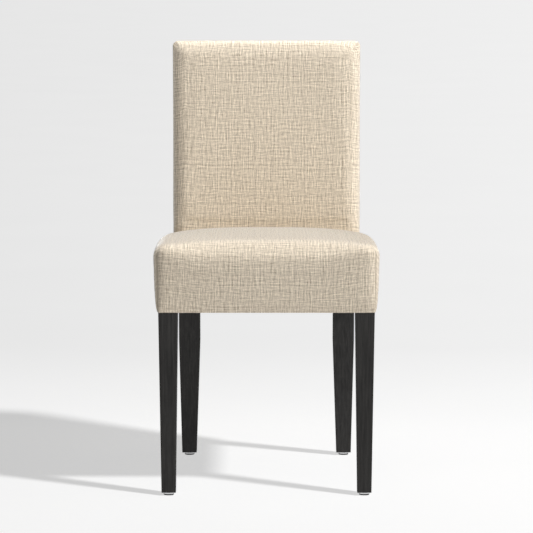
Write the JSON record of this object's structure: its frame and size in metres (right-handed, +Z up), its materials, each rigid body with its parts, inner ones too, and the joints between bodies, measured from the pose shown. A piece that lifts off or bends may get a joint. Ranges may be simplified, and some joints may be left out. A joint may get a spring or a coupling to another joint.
{
  "type": "parsons chair",
  "caption": "Upholstered side chair with a box seat, a straight padded back, square tapered legs and floor glides.",
  "frame": {"origin": "on the floor, at the middle of the chair's footprint in plan", "axes": "+X to the right as seen from the front, +Y to the rear, +Z up; the chair faces -Y"},
  "size_m": [0.4618, 0.5726, 0.9099],
  "materials": {
    "stained_wood": "black stain under a satin lacquer",
    "raw_wood": "unfinished hardwood",
    "linen": "oatmeal plain weave with slubs",
    "foam": "open-cell upholstery foam",
    "webbing": "woven jute webbing",
    "dust_cloth": "black non-woven cambric",
    "card": "upholsterer's board",
    "glide_steel": "bright plated steel",
    "screw_steel": "plated steel",
    "glide_nylon": "dark moulded nylon"
  },
  "bodies": {
    "root": {"front_glide_cup_right": "glide_steel", "front_glide_cup_left": "glide_steel", "front_glide_pad_right": "glide_nylon", "front_glide_pad_left": "glide_nylon", "rear_glide_cup_right": "glide_steel", "rear_glide_cup_left": "glide_steel", "rear_glide_pad_right": "glide_nylon", "rear_glide_pad_left": "glide_nylon", "front_leg_right": "stained_wood", "front_leg_left": "stained_wood", "rear_leg_right": "stained_wood", "rear_leg_left": "stained_wood", "front_rail": "raw_wood", "rear_rail": "raw_wood", "side_rail_right": "raw_wood", "side_rail_left": "raw_wood", "crest_rail": "raw_wood", "lower_back_rail": "raw_wood", "front_corner_block_right": "raw_wood", "front_corner_block_left": "raw_wood", "rear_corner_block_right": "raw_wood", "rear_corner_block_left": "raw_wood", "front_block_side_screw_right": "screw_steel", "front_block_side_screw_left": "screw_steel", "front_block_end_screw_right": "screw_steel", "front_block_end_screw_left": "screw_steel", "rear_block_side_screw_right": "screw_steel", "rear_block_side_screw_left": "screw_steel", "rear_block_end_screw_right": "screw_steel", "rear_block_end_screw_left": "screw_steel", "rail_screw_1_right": "screw_steel", "rail_screw_1_left": "screw_steel", "rail_screw_2_right": "screw_steel", "rail_screw_2_left": "screw_steel", "seat_strap_long_1": "webbing", "seat_strap_long_2": "webbing", "seat_strap_long_3": "webbing", "seat_strap_cross_1": "webbing", "seat_strap_cross_2": "webbing", "seat_strap_cross_3": "webbing", "back_strap_1": "webbing", "back_strap_2": "webbing", "back_strap_3": "webbing", "seat_foam": "foam", "back_foam": "foam", "seat_cover": "linen", "inside_back_cover": "linen", "outside_back_cover": "linen", "dust_cover": "dust_cloth", "back_board": "card", "tack_strip": "card"}
  },
  "joints": []
}
